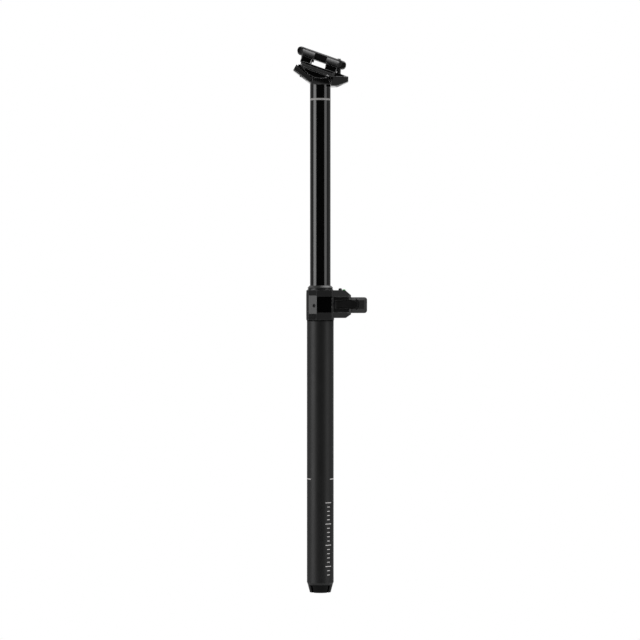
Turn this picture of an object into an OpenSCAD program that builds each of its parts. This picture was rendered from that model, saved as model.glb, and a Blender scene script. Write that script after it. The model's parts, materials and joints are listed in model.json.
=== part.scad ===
// Dropper seatpost with a powered release module on its collar.
// Millimetres, +Z up along the post, +X to the front of the bicycle.
// Origin on the post's axis, at the underside of the collar, shown at full height.

/* [Tubes] */
// Outer diameter of the lower tube, the size that fits the seat tube
lower_d = 31.6; // [30.9:0.1:34.9]
// Wall of the lower tube
lower_wall = 2; // [1.8:0.1:2.4]
// Length of the lower tube below the collar
lower_len = 311.9; // [300:0.1:400]
// Length of the lower tube inside the collar
tube_socket = 8; // [6:0.5:10]
// How far the lower tube's neck inside the collar is turned in, on the radius
neck_in = 0.4; // [0.2:0.1:0.6]
// Height of the taper at the foot of the lower tube
taper_h = 2.3; // [1:0.1:4]
// How far that taper draws the tube in, on the radius
taper_in = 0.9; // [0.4:0.1:1.2]
// Outer diameter of the upper tube
upper_d = 24.4; // [23.4:0.1:25]
// Wall of the upper tube
upper_wall = 1.9; // [1.5:0.1:2.5]
// Length of the upper tube below the collar at full height
upper_overlap = 70; // [60:1:80]
// Travel of the upper tube
travel = 225; // [100:5:225]
// Room between the wiper seal and the top of the upper tube when it is down
drop_gap = 13.1; // [10:0.1:40]

/* [Foot] */
// Height of the tapered foot below the lower tube
foot_h = 9.5; // [8:0.5:14]
// Radius of the foot at its bottom
foot_r = 12.4; // [11:0.1:13.5]
// Height of the foot's spigot inside the lower tube
foot_spigot = 12; // [8:1:16]
// Width of the spanner slots in the foot
foot_slot_w = 3; // [2:0.1:4]
// Depth of the spanner slots, on the radius
foot_slot_d = 1.6; // [1:0.1:2.2]
// Thickness of the foot's web that carries the shaft
foot_web = 8; // [5:0.5:12]
// Height of the rim above the spanner slots
foot_rim = 1; // [0.6:0.1:2]

/* [Air spring] */
// Diameter of the inner shaft
shaft_d = 10; // [8:0.1:12]
// Bore of the inner shaft
shaft_bore_d = 5; // [4:0.1:6]
// Height of the seal head in the end of the upper tube
seal_head_h = 15; // [12:0.5:20]
// Height of the piston
piston_h = 12; // [10:0.5:18]
// Room between the seal head and the piston at full height
piston_gap = 5; // [2:0.5:10]
// Thickness of the piston above the shaft
piston_cap = 2; // [1.5:0.1:3]
// Diameter of the port through the piston
piston_port_d = 3; // [2:0.1:4]
// Height of the piston ring and of the shaft seal
ring_h = 3; // [2:0.1:4]
// Thickness of the piston ring and of the shaft seal, on the radius
ring_t = 1.4; // [1:0.1:2]
// Height of the ring and of the seal above the ends of their carriers
ring_lift = 4; // [3:0.1:5]
// Width across the flats of the shaft nut
shaft_nut_af = 15; // [14:0.1:16]
// Height of the shaft nut
shaft_nut_h = 6; // [4:0.5:7]
// Length of the shaft below its nut
shaft_tail = 2; // [1:0.1:3]
// Length of the valve in the shaft's end
valve_len = 12; // [8:0.5:20]
// Depth of the valve in the shaft's end
valve_sink = 4; // [3.8:0.1:6]
// Length of the valve's stem
valve_stem_h = 1.2; // [0.8:0.1:1.2]
// Diameter of the valve's stem
valve_stem_d = 2; // [1:0.1:3]
// Height of the valve cap's flange
cap_h = 1.8; // [1:0.1:2.5]
// Length of the valve cap's plug
cap_plug = 2.5; // [1.5:0.1:2.5]
// How far the valve cap's flange lies inside the shaft's edge
cap_in = 0.6; // [0.2:0.1:1]

/* [Slide] */
// Room between the lower tube's end and the upper bushing
bush_lift = 1; // [0.5:0.1:2]
// Room between the upper bushing and the wiper seal
bush_room = 2.2; // [1:0.1:4]
// Thickness of the upper bushing
upper_bush_t = 0.95; // [0.8:0.05:1.1]
// Length of the lower bushing
lower_bush_h = 34; // [25:1:45]
// Diameter of the guide keys
key_d = 2; // [1.5:0.1:2.2]
// Length of the guide keys
key_h = 16; // [10:1:24]
// Height of the stop ring on the upper tube
stop_h = 4.5; // [3:0.1:6]
// Depth of the stop ring's groove in the upper tube
stop_groove = 0.3; // [0.2:0.1:0.5]
// Height of the top-out bumper
bumper_h = 5.5; // [3:0.5:6]

/* [Collar] */
// Height of the collar
collar_h = 35.2; // [34:0.1:40]
// Wall between the lower tube and the collar's flat sides
collar_side_wall = 3.4; // [3:0.1:5]
// Wall of the collar's round barrel
collar_barrel_wall = 0.6; // [0.5:0.1:1.5]
// How far the seam with the module lies behind the front of the lower tube
seam_back = 2.05; // [1:0.05:3]
// Direction of the rear bevels, from the front
bevel_angle = 127.4; // [120:0.1:135]
// Wall between the lower tube and the rear bevels
bevel_wall = 2.05; // [1.6:0.05:2.4]
// Direction of the narrow facets beside the back
back_angle = 155.8; // [150:0.1:160]
// Wall between the lower tube and those narrow facets
back_facet_wall = 1.6; // [1.2:0.05:1.9]
// Wall between the lower tube and the flat at the back
back_wall = 0.8; // [0.7:0.05:1.2]
// Height of the bevelled band at the top
top_band = 7.3; // [5:0.1:9]
// Height of the bevelled band at the bottom
bottom_band = 8.7; // [6:0.1:10]
// How far the top band leans in
top_inset = 2.6; // [1:0.1:3]
// How far the bottom band leans in
bottom_inset = 2.6; // [1:0.1:3]
// Height of the wiper seal above the collar
wiper_h = 5.4; // [4:0.1:8]
// Depth of the wiper seal's skirt in the collar
wiper_skirt = 4; // [3:0.1:4.5]
// Overhang of the wiper seal's flange over the upper tube
wiper_flange = 3; // [2.4:0.1:3.4]
// Thickness of the wiper seal's skirt, measured from the upper tube
wiper_skirt_t = 1.9; // [1.5:0.1:2.1]
// Height of the wiper seal's rim and of its groove
wiper_rim = 1.05; // [0.8:0.05:1.3]
// Depth of the groove round the wiper seal
wiper_groove = 0.9; // [0.4:0.1:1.2]
// Thickness of the wiper seal's lip
wiper_lip = 0.6; // [0.4:0.1:0.8]
// Height of the wiper seal's lip
wiper_lip_h = 1.2; // [0.8:0.1:1.6]
// Height of the bleed screw above the collar's underside
bleed_z = 17; // [14:0.5:22]
// How far the bleed screw lies from the middle of its bevel, towards the front
bleed_shift = 4.3; // [3:0.1:5]
// Radius of the bleed screw's head
bleed_r = 1.9; // [1.5:0.1:2.2]
// Height of the bleed screw's head
bleed_h = 1.35; // [1:0.05:1.5]
// Length of the bleed screw
bleed_len = 3.3; // [2.5:0.1:3.4]
// Diameter of the bleed screw's shank
bleed_shank_d = 2.3; // [1.8:0.1:2.4]
// Width of the bleed screw's socket
bleed_hex_d = 1.9; // [1.5:0.1:2.2]

/* [Module] */
// Length of the module from the seam to its front
module_len = 22.35; // [21:0.05:30]
// Height of the module's underside above the collar's underside
module_lift = 2.5; // [2:0.1:4]
// Run of the slope at the top of the module's front
nose_run = 6.8; // [4:0.1:7.5]
// Drop of the slope at the top of the module's front
nose_drop = 5.9; // [3:0.1:7]
// Run of the slope at the bottom of the module's front
chin_run = 6.2; // [4:0.1:8]
// Rise of the slope at the bottom of the module's front
chin_rise = 4.3; // [3:0.1:5]
// Chamfer on the module's front corners, along the side
corner_run = 4; // [2:0.1:6]
// Chamfer on the module's front corners, across the front
corner_in = 1.8; // [1:0.1:2.4]
// Depth of the recess in the module's sides
side_recess = 0.8; // [0.4:0.1:1.2]
// Distance of that recess from the seam
recess_back = 1.3; // [0.8:0.1:2]
// Distance of that recess from the bands above and below it
recess_rim = 0.5; // [0.3:0.1:1]
// Depth of the drive chamber in front of the collar's barrel
drive_room = 6.9; // [6.4:0.1:8]
// Wall between the drive chamber and the battery
module_wall = 1.2; // [1:0.1:2]
// Half width of the drive chamber
chamber_half = 12.5; // [12:0.1:13]
// Roof over the circuit board
roof_t = 1.8; // [1.4:0.1:2.4]
// Floor under the drive chamber
floor_t = 3; // [2:0.1:4]
// Distance of the vents from the seam
vent_x = 6; // [4:0.1:8]
// Height of the vents above the collar's underside
vent_z = 4; // [3.5:0.1:5]
// Diameter of the vents in the lower bands
vent_d = 1.4; // [1:0.1:2]
// Depth of the vents
vent_depth = 1; // [0.5:0.1:1.5]
// Thickness of the circuit board
board_t = 1.4; // [1:0.1:1.6]
// Gap between the circuit board and the collar's barrel
board_gap = 1; // [0.5:0.1:1.5]
// Width of the switch under the button
switch_w = 3; // [2:0.1:4]
// Diameter of the gear motor
motor_d = 4.8; // [4:0.1:5.4]
// Length of the gear motor
motor_len = 14.5; // [10:0.5:16]
// How far the motor reaches to the right of the post's axis
motor_side = 9; // [8:0.5:10]
// Height of the motor's axis above the collar's underside
motor_z = 14; // [12.5:0.1:15]
// Radius of the drive cam
cam_r = 1.9; // [1.6:0.1:1.9]
// Offset of the drive cam, which is the stroke of the valve pin
cam_offset = 0.5; // [0.3:0.05:0.5]
// Width of the drive cam
cam_w = 3; // [2:0.1:3]
// Gap between the motor and the drive cam
cam_gap = 2; // [1:0.1:2]
// Diameter of the drive cam's shaft
cam_shaft_d = 1.5; // [1.2:0.1:1.8]
// Length of that shaft inside the motor
cam_shaft_in = 2.6; // [2:0.1:4]
// Diameter of the valve pin
valve_pin_d = 1.8; // [1.4:0.1:2.2]
// Material between the valve pin's tip and the upper bushing
valve_stop = 2.6; // [2:0.1:3]
// Free depth of the valve pin's hole behind its stroke
valve_room = 0.6; // [0.4:0.1:1]
// Diameter of the button
button_d = 4.1; // [3:0.1:4.6]
// Height of the button above the module
button_h = 2.5; // [1.5:0.1:3]
// Travel of the button
button_stroke = 0.8; // [0.4:0.1:1]
// Height of the button's dome
button_dome = 1; // [0.5:0.1:1.4]
// Overhang of the button's flange under the roof
button_flange = 0.8; // [0.5:0.1:1]
// Thickness of the button's flange
button_flange_t = 1; // [0.6:0.1:1.2]
// Distance of the button from the seam
button_x = 9.8; // [9:0.1:10.5]
// Length of the light's window
led_len = 3.4; // [3:0.1:4]
// Width of the light's window
led_w = 2.2; // [1.6:0.1:2.6]
// Height of the light's window above the module
led_h = 0.9; // [0.1:0.1:1.2]
// Gap between the button and the light's window
led_gap = 0.6; // [0.5:0.1:0.8]
// Diameter of the housing screws' shanks
screw_d = 2.5; // [2:0.1:2.6]
// Diameter of the housing screws' heads
screw_head_d = 3.8; // [3.4:0.1:4]
// Length that the housing screws reach into the collar
screw_grip = 5; // [4:0.1:6]
// Height of the housing screws' heads
screw_head_h = 2; // [1.5:0.1:2.4]
// Depth of the heads' seats below the module's front
screw_sink = 2.6; // [2.2:0.1:3]
// Width of the housing screws' sockets
screw_hex_d = 2; // [1.5:0.1:2.2]
// Depth of the housing screws' sockets
screw_hex_h = 1.1; // [0.8:0.1:1.4]
// Distance of the housing screws from the module's sides
screw_in = 4; // [3.9:0.1:4.2]

/* [Battery] */
// Length of the battery in front of the module
battery_len = 18.6; // [16:0.1:24]
// Depth of the battery's top below the collar's top
battery_top = 8.3; // [8:0.1:9]
// Height of the battery's underside above the collar's underside
battery_lift = 8.3; // [8:0.1:8.6]
// Width of the battery
battery_w = 32; // [30:0.1:32]
// Step from the battery's outer block to its plug
battery_step = 1.6; // [1.4:0.1:2.5]
// Width of the battery's plug
plug_w = 25; // [22:0.1:25.4]
// Radius of the battery's front corners
battery_round = 3.2; // [2:0.1:4]
// Height of the bevel along the battery's top
battery_top_bevel = 3.3; // [2:0.1:4]
// Height of the bevel along the battery's underside
battery_low_bevel = 4.7; // [3:0.1:5]
// How far those bevels lean in
battery_bevel_in = 2.6; // [1:0.1:3]
// Length of the battery's front cover
cover_len = 8.6; // [6:0.1:8.8]
// Room between the battery's plug and the pocket's end
plug_room = 0.7; // [0.5:0.1:1]
// Distance between the battery's two contacts
contact_pitch = 12; // [8:0.5:16]
// Depth of the contacts below the plug's top
contact_drop = 4; // [3:0.1:6]
// Diameter of the contact pins
contact_d = 1.6; // [1:0.1:2]
// How far the contact pins stand out on the motor's side
contact_back = 0.6; // [0.4:0.1:0.8]
// How far the contact pins stand out on the battery's side
contact_out = 0.4; // [0.2:0.1:0.5]
// Diameter of the battery's terminals
terminal_d = 2.8; // [2:0.1:3.5]
// Depth of the terminals' seats
terminal_h = 0.5; // [0.4:0.1:0.8]
// How far the terminals lie below the plug's face
terminal_sink = 0.1; // [0.05:0.05:0.2]

/* [Latch] */
// Distance of the latch's pin from the seam
latch_pin_x = 6.25; // [6:0.05:7]
// Diameter of the latch's pin
latch_pin_d = 2; // [1.6:0.1:2.2]
// Radius of the latch's knuckle
knuckle_r = 1.9; // [1.7:0.1:2]
// Length of the latch from its pin to the middle of its round end
latch_len = 18.5; // [18:0.1:20]
// Height of the latch at its pin
latch_pin_h = 7.6; // [6:0.1:8]
// Height of the latch at its round end
latch_end_h = 9.6; // [8.6:0.1:10]
// Thickness of the latch
latch_t = 2.5; // [2:0.1:2.6]
// Height of the latch's middle above the battery's
latch_lift = 0.9; // [0:0.1:1.5]
// Gap around the latch in its pocket
latch_gap = 0.5; // [0.4:0.1:0.8]
// Material outside the latch's pin
latch_skin = 0.4; // [0.3:0.1:0.6]
// Length of the latch's pin in each seat
latch_pin_seat = 2.7; // [2:0.1:2.9]
// Reach of the latch's hook into the battery
hook_reach = 1; // [0.6:0.1:1.2]
// Length of the latch's hook
hook_len = 2; // [1.5:0.1:2.4]
// Free length of the battery's notch on either side of the hook
hook_play = 1.2; // [1.1:0.1:1.4]
// How far the hook lies ahead of the middle of the round end
hook_ahead = 0.7; // [0.4:0.1:1]
// Free depth of the notch behind the hook
hook_room = 0.4; // [0.3:0.1:0.6]
// How far the hook is shorter than the latch at each end
hook_margin = 0.6; // [0.4:0.1:1]
// Width of the thumb recess round the latch's end
thumb_w = 2.8; // [1.5:0.1:2.9]
// Depth of the thumb recess
thumb_depth = 1.2; // [0.6:0.1:1.4]

/* [Head] */
// Width of the head
head_w = 24.6; // [22:0.1:25]
// Reach of the rear wing behind the axis
rear_reach = 32; // [30:0.1:36]
// Height of the rear wing's top corner above the upper tube
rear_rise = 22.3; // [21.5:0.1:23]
// Height of the rear wing's end
rear_tip_h = 6.8; // [6:0.1:8]
// How far the rear wing's top corner lies inside its end
rear_tip_in = 3.9; // [3:0.1:5]
// Distance behind the axis where the rear wing leaves the tube
rear_root = 11.6; // [10:0.1:12]
// Distance behind the axis where the rear wing's top meets the seat
seat_back = 9.2; // [8:0.1:10]
// Height of the head's middle above the upper tube
seat_rise = 7.5; // [7:0.1:8]
// Reach of the front wing ahead of the axis
front_reach = 33; // [31:0.1:36]
// Height of the front wing's end above the upper tube
front_rise = 8; // [7.4:0.1:8.6]
// Height of the front wing's end
front_tip_h = 6; // [5:0.1:6.4]
// Depth of the front wing's root below the upper tube's end
front_root = 3.4; // [2.5:0.1:4]
// Distance ahead of the upper tube where the front wing's underside turns up
front_turn = 7.8; // [6:0.1:9]
// Height above the upper tube where the front wing's upper bevel begins
front_bevel_z = 5.6; // [5:0.1:6.4]
// Width of the wings at their tips
wing_tip_w = 17; // [15:0.5:20]
// Chamfer on the corners of the wings' tips
tip_chamfer = 2; // [1:0.1:3]
// Lean of the wings' sides towards their top
wing_draft = 10; // [6:0.5:13]
// Distance from the upper tube where the wings begin to narrow
wing_start = 1.5; // [0.5:0.1:3]
// Depth of the chamfers along the rear wing's top
top_chamfer = 2.1; // [1.7:0.1:2.4]
// Width of the rib on the rear wing, behind the rear bolt
rib_w = 11.8; // [9:0.1:13]
// Depth of the chamfers along the wings' undersides
under_chamfer = 0.9; // [0.4:0.1:1.2]
// How far the cheek on either side of the head stands out at its foot
cheek_t = 2; // [1.6:0.1:2.4]
// Height of the sloping cheeks above the upper tube's end
cheek_h = 6; // [5.4:0.1:6.6]
// How far the cheeks reach down over the upper tube
cheek_drop = 1.6; // [1:0.1:2]
// How far the cheeks narrow towards their top
cheek_lean = 2.9; // [2:0.1:4]
// Length of the head's spigot in the upper tube
spigot_len = 30; // [20:1:50]
// Wall of the head's spigot
spigot_wall = 2.95; // [2:0.05:4]
// Thickness of the spigot's roof
spigot_roof = 3; // [2:0.1:5]

/* [Saddle clamp] */
// Tilt of the clamp, nose down
tilt = 19.4; // [15:0.1:21]
// Distance of the tilt axis ahead of the post's axis
tilt_x = 0.8; // [0:0.1:1.5]
// Height of the tilt axis above the upper tube
tilt_h = 30.3; // [30:0.1:31]
// Radius of the head's round seat
seat_r = 25; // [24.8:0.1:25.4]
// Diameter of the saddle rails
rail_d = 7; // [6.6:0.1:7.6]
// Distance between the saddle rails
rail_pitch = 44; // [42:0.5:46]
// Depth of the rails below the tilt axis
rail_drop = 6; // [5.6:0.1:6.4]
// Gap between the clamp's halves beside the rails
clamp_split = 1; // [0.6:0.1:1.6]
// Gap between the head and the cradle's side bars
cradle_gap = 1.1; // [0.8:0.1:1.5]
// Depth of the cradle's underside below the tilt axis
cradle_drop = 18.5; // [18:0.1:19.5]
// Thickness of the cradle's side bars
bar_t = 5.65; // [4.5:0.05:6]
// Half the length of the cradle's side bars
bar_half = 20; // [19:0.1:23]
// How far the side bars sit ahead of the tilt axis
bar_shift = 2.4; // [0:0.1:2.6]
// How far the bars lie inside the jaws
bar_inset = 0.8; // [0.4:0.1:1.5]
// Height of the bars' outer edge above their underside
bar_edge = 3.2; // [2.8:0.1:3.6]
// Lean of the bars above that edge
bar_over = 0.2; // [0.1:0.1:0.6]
// Lean of the bars below that edge
bar_under = 1.2; // [0.5:0.1:1.5]
// Chamfer on the outer corners of the bars and jaws
end_chamfer = 2.2; // [1.5:0.1:4]
// Reach of the cradle's keel behind the tilt axis
keel_back = 20; // [15:0.1:20.4]
// Reach of the cradle's keel ahead of the tilt axis
keel_front = 13; // [12:0.1:15]
// Distance behind the tilt axis where the keel's slot ends
keel_slot = 8.6; // [8:0.1:9]
// Room beside the rear bolt in the keel's slot
keel_slot_room = 1.4; // [1:0.1:2]
// Inner end of the rail supports, along the clamp
post_in = 9; // [8:0.1:10]
// How far the rail supports lie inside the bars
post_inset = 1.6; // [1:0.1:1.8]
// Reach of the rear rail supports behind the tilt axis
cradle_back = 21; // [19:0.1:21.5]
// Overhang of the jaws over the supports' inner ends
jaw_over = 1.6; // [0.5:0.1:2]
// Reach of the jaws from the tilt axis, both ways
jaw_end = 22.6; // [22.5:0.1:23.4]
// Radius of the jaws about the rails
jaw_r = 7.4; // [7:0.1:8]
// Gap between the jaws' inner arms and the cradle
arm_lift = 1.4; // [1:0.1:2]
// How far the arms lie below the jaws' tops
arm_drop = 0.4; // [0.2:0.1:1]
// Width of the upper clamp's spine
spine_w = 15; // [13:0.1:16]
// Thickness of the upper clamp's spine
spine_t = 9.4; // [9:0.1:10.5]
// Reach of the spine ahead of the tilt axis
spine_front = 31; // [29.2:0.1:33]
// Reach of the spine behind the tilt axis
spine_back = 29.4; // [29.2:0.1:33]
// Height of the spine's middle above the tilt axis
spine_lift = 0.3; // [0:0.1:1]
// Chamfer along the spine's edges
spine_chamfer = 1.6; // [0.8:0.1:2.2]
// Length of the bolts' slots in the spine
spine_slot = 11.6; // [10:0.1:12]
// Room beside the bolts in those slots
slot_room = 0.6; // [0.4:0.1:1]
// Distance of the barrel nuts from the tilt axis
nut_out = 22.3; // [21.6:0.1:23]
// Diameter of the barrel nuts
nut_d = 7.8; // [7.4:0.1:8.2]
// Room round the bolts in the barrel nuts
nut_room = 0.5; // [0.3:0.1:0.8]
// Diameter of the clamp bolts
bolt_d = 5; // [4:0.5:5]
// Radius of the clamp bolts' round heads
bolt_head_r = 4.2; // [3.6:0.1:4.4]
// Material left above each bolt head in its wing
bolt_seat_t = 2.4; // [1.8:0.1:3]
// Height of the flat underside of the bolt heads below their middles
bolt_flat = 1.2; // [1:0.1:2]
// Room round the bolts where they leave the wings
bolt_room = 0.9; // [0.8:0.1:1.2]
// Length of the rear bolt above its nut's middle
rear_bolt_tip = 4.4; // [4.2:0.1:8]
// Length of the front bolt above its nut's middle
front_bolt_tip = 6.4; // [4.2:0.1:8]
// Width of the bolts' sockets
bolt_hex_d = 4.6; // [3:0.1:4.6]
// Depth of the bolts' sockets
bolt_hex_h = 2.4; // [1.5:0.1:3]

/* [Clearances] */
// Gap of glued and screwed seats
bond_gap = 0.05; // [0.02:0.01:0.1]
// Radial clearance of running fits
run_gap = 0.06; // [0.02:0.01:0.1]
// Gap between faces that move past each other
move_gap = 0.3; // [0.2:0.05:0.4]
// Gap round pieces that lie loosely in their places
loose_gap = 0.2; // [0.1:0.05:0.3]

/* [Hidden] */
$fn = 96;
cut = 1;
far = 4 * (lower_d + rear_reach);
lower_r = lower_d / 2;
lower_ri = lower_r - lower_wall;
neck_r = lower_r - neck_in;
upper_r = upper_d / 2;
upper_ri = upper_r - upper_wall;
shaft_r = shaft_d / 2;
key_r = key_d / 2;
key_pitch = upper_r + bond_gap + key_r;
key_angles = [60, 180, 300];

// Heights along the post
foot_top = -lower_len;
foot_bottom = foot_top - foot_h;
wiper_top = collar_h + wiper_h;
head_z = wiper_top + travel + drop_gap;
upper_bottom = -upper_overlap;
piston_z = upper_bottom + seal_head_h + piston_gap;
shaft_top = piston_z + piston_h - piston_cap;
nut_floor = foot_top + foot_spigot - foot_web;
nut_well_r = shaft_nut_af / sqrt(3) + 2 * move_gap;
shaft_bottom = nut_floor - shaft_nut_h - shaft_tail;
bush_z = tube_socket + bush_lift;
bush_top = collar_h - wiper_skirt - bush_room;
bumper_top = tube_socket - loose_gap;
stop_z = bumper_top - bumper_h - move_gap - stop_h;

// Radii in the collar
bush_bore = upper_r + run_gap + upper_bush_t + bond_gap;
wiper_bore = upper_r + wiper_skirt_t + bond_gap;
barrel_r = lower_r + collar_barrel_wall;
side_half = lower_r + collar_side_wall;
band_top_z = collar_h - top_band;
seam_x = lower_r - seam_back;

// Places in the module, all measured from the seam or the barrel
module_front = seam_x + module_len;
chamber_x = barrel_r + drive_room;
pocket_x = chamber_x + module_wall;
battery_h = collar_h - battery_lift - battery_top;
plug_z0 = battery_lift + battery_step;
plug_z1 = battery_lift + battery_h - battery_step;
board_z = plug_z1 + move_gap + module_wall + bond_gap;
chamber_top = collar_h - roof_t;
board_front = module_front - nose_run;
motor_x = chamber_x - motor_d / 2 - loose_gap;
motor_y0 = -motor_side;
motor_y1 = motor_y0 + motor_len;
cam_y = motor_y1 + cam_gap;
cam_shaft_r = cam_shaft_d / 2;
valve_y = cam_y + cam_w / 2;
valve_head_x = motor_x + cam_offset - cam_r - move_gap / 2;
valve_tip_x = sqrt(pow(bush_bore, 2) - pow(valve_y, 2)) + valve_stop;
button_pos = seam_x + button_x;
flange_z = chamber_top - loose_gap - button_flange_t;
led_pos = button_pos + button_d / 2 + led_gap + led_len / 2;
screw_y = side_half - screw_in;
screw_high = collar_h - nose_drop - screw_head_d / 2 - 2 * loose_gap;
screw_low = module_lift + chin_rise + screw_head_d / 2 + 2 * loose_gap;
screw_seat_x = module_front - screw_sink;
band_angle = atan2(bottom_inset, bottom_band);
vent_y = side_half - bottom_inset * (1 - vent_z / bottom_band);

// Battery and latch
battery_x0 = module_front + move_gap;
battery_x1 = battery_x0 + battery_len;
cover_x = battery_x1 - cover_len;
plug_x0 = pocket_x + plug_room;
contact_z = plug_z1 - contact_drop;
contact_ys = [-contact_pitch / 2, contact_pitch / 2];
latch_z = battery_lift + battery_h / 2 + latch_lift;
latch_x = seam_x + latch_pin_x;
latch_y = -(side_half - side_recess - latch_pin_d / 2 - latch_skin);
latch_in = -(battery_w / 2 + move_gap + loose_gap);
latch_end_x = latch_x + latch_len;
latch_end_r = latch_end_h / 2;
pocket_floor = latch_y + knuckle_r + move_gap;
hook_x = latch_end_x + hook_ahead;
hook_front = hook_x + hook_len / 2 + hook_play;
latch_pin_len = latch_pin_h + 2 * (latch_gap + latch_pin_seat);

// Slopes and directions of the head's wings
rear_run = rear_reach - rear_tip_in - seat_back;
rear_fall = (rear_rise - seat_rise) / rear_run;
wing_in = (head_w - wing_tip_w) / 2;
rear_side_n = [-wing_in, rear_reach - tip_chamfer - upper_r - wing_start, 0];
front_side_n = [wing_in, front_reach - tip_chamfer - upper_r - wing_start, 0];
rear_top_n = [rear_fall, 0, 1];
rear_under_n = [-(rear_rise - rear_tip_h), 0, -(rear_reach - rear_root)];
front_low_z = head_z + front_rise - front_tip_h;
front_turn_x = upper_r + front_turn;
front_under_n = [front_low_z - head_z + front_root, 0, -(front_reach - front_turn_x)];

// Saddle clamp
tilt_z = head_z + tilt_h;
rail_r = rail_d / 2;
keel_r = seat_r - move_gap;
cradle_in = head_w / 2 + cradle_gap;
cradle_out = rail_pitch / 2 + jaw_r - bar_inset;
bar_front = bar_shift + bar_half;
bar_top = bar_t - cradle_drop;
jaw_out = rail_pitch / 2 + jaw_r;
nut_r = nut_d / 2;
bolt_r = bolt_d / 2;
rear_nut_at = clamp_point(-nut_out, spine_lift);
front_nut_at = clamp_point(nut_out, spine_lift);
rear_pivot = rear_top(rear_nut_at[0]) - bolt_seat_t - bolt_head_r - move_gap;
front_pivot = front_top(front_nut_at[0]) - bolt_seat_t - bolt_head_r - move_gap;

// Point of the clamp's own frame, u along the rails and v up, in the post's frame
function clamp_point(u, v) = [
    tilt_x + u * cos(tilt) + v * sin(tilt),
    tilt_z - u * sin(tilt) + v * cos(tilt)
];

// Top of the rear wing at a distance from the axis
function rear_top(x) = head_z + seat_rise - (x + seat_back) * rear_fall;

// Top of the front wing, which slopes with the clamp
function front_top(x) = head_z + front_rise + (front_reach - x) * tan(tilt);

function unit(v) = v / norm(v);

function mirrored(points) = concat(
    points,
    [for (i = [len(points) - 1:-1:0]) [points[i][0], -points[i][1]]]
);

// Cross-section of the collar and module, with its top and bottom bands leaning in
function band_half() = [
    [side_half - bottom_inset, 0],
    [side_half, bottom_band],
    [side_half, band_top_z],
    [side_half - top_inset, collar_h]
];

function side_mirrored(points) = concat(
    points,
    [for (i = [len(points) - 1:-1:0]) [-points[i][0], points[i][1]]]
);

// Extrudes an outline drawn in X and Z across the post
module across(w) rotate([90, 0, 0]) linear_extrude(w, center = true) children();

// Extrudes an outline drawn in Y and Z along X
module along(x0, x1) translate([x0, 0, 0]) rotate([90, 0, 90]) linear_extrude(x1 - x0) children();

// Box from one corner to the other
module box(a, b) translate(a) cube([b[0] - a[0], b[1] - a[1], b[2] - a[2]]);

module ring(r_in, r_out, z0, z1) rotate_extrude() translate([r_in, z0]) square([r_out - r_in, z1 - z0]);

module rod_x(r, x0, x1, y, z) translate([x0, y, z]) rotate([0, 90, 0]) cylinder(r = r, h = x1 - x0);

module rod_y(r, y0, y1, x, z) translate([x, y1, z]) rotate([90, 0, 0]) cylinder(r = r, h = y1 - y0);

module in_clamp() translate([tilt_x, 0, tilt_z]) rotate([0, tilt, 0]) children();

module both_sides() for (s = [0, 1]) mirror([0, s, 0]) children();

module both_ends() for (s = [0, 1]) mirror([s, 0, 0]) children();

// Everything beyond a chamfer of the edge at p, where faces with two normals meet
module edge_cut(p, n1, n2, depth) {
    n = unit(unit(n1) + unit(n2));
    beyond(p - depth * n, n);
}

// Everything beyond the plane through p with normal n
module beyond(p, n) translate(p) rotate([0, acos(n[2]), atan2(n[1], n[0])])
    translate([-far, -far, 0]) cube([2 * far, 2 * far, far]);

// Lower tube

module lower_tube() color("#1c1c1d") difference() {
    rotate_extrude() polygon([
        [lower_ri, tube_socket],
        [neck_r, tube_socket],
        [neck_r, 0],
        [lower_r, 0],
        [lower_r, foot_top + taper_h],
        [lower_r - taper_in, foot_top],
        [lower_ri, foot_top]
    ]);
    for (a = key_angles) rotate([0, 0, a]) translate([key_pitch, 0, foot_top + foot_spigot])
        cylinder(r = key_r + move_gap, h = lower_len - foot_spigot + tube_socket + cut, $fn = 32);
}

module foot_cap() color("#141415") difference() {
    rotate_extrude() polygon([
        [shaft_r + bond_gap, foot_top + foot_spigot],
        [lower_ri - bond_gap, foot_top + foot_spigot],
        [lower_ri - bond_gap, foot_top],
        [lower_r - taper_in, foot_top],
        [foot_r, foot_bottom],
        [nut_well_r, foot_bottom],
        [nut_well_r, nut_floor],
        [shaft_r + bond_gap, nut_floor]
    ]);
    for (a = [45, 135, 225, 315]) rotate([0, 0, a])
        box([foot_r - foot_slot_d, -foot_slot_w / 2, foot_bottom - cut],
            [lower_r, foot_slot_w / 2, foot_top - foot_rim]);
}

module shaft_nut() color("#b8b8ba") difference() {
    translate([0, 0, nut_floor - shaft_nut_h])
        cylinder(d = shaft_nut_af / cos(30), h = shaft_nut_h, $fn = 6);
    translate([0, 0, nut_floor - shaft_nut_h - cut])
        cylinder(r = shaft_r + bond_gap, h = shaft_nut_h + 2 * cut);
}

module inner_shaft() color("#c4c4c8") ring(shaft_bore_d / 2, shaft_r, shaft_bottom, shaft_top);

module air_valve() color("#c9a24a") translate([0, 0, shaft_bottom + valve_sink]) {
    cylinder(d = shaft_bore_d - 2 * bond_gap, h = valve_len);
    translate([0, 0, -valve_stem_h]) cylinder(d = valve_stem_d, h = valve_stem_h + cut);
}

module valve_cap() color("#222224") translate([0, 0, shaft_bottom]) {
    translate([0, 0, -cap_h]) cylinder(r = shaft_r - cap_in, h = cap_h - bond_gap);
    translate([0, 0, -cap_h / 2]) cylinder(d = shaft_bore_d - 2 * bond_gap, h = cap_h / 2 + cap_plug);
}

module piston() color("#9a9aa0") difference() {
    translate([0, 0, piston_z]) cylinder(r = upper_ri - move_gap, h = piston_h);
    translate([0, 0, piston_z - cut])
        cylinder(r = shaft_r + bond_gap, h = piston_h - piston_cap + cut + bond_gap);
    translate([0, 0, piston_z]) cylinder(d = piston_port_d, h = piston_h + cut);
    ring(upper_ri - ring_t - bond_gap, upper_r, piston_z + ring_lift - bond_gap,
        piston_z + ring_lift + ring_h + bond_gap);
}

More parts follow.
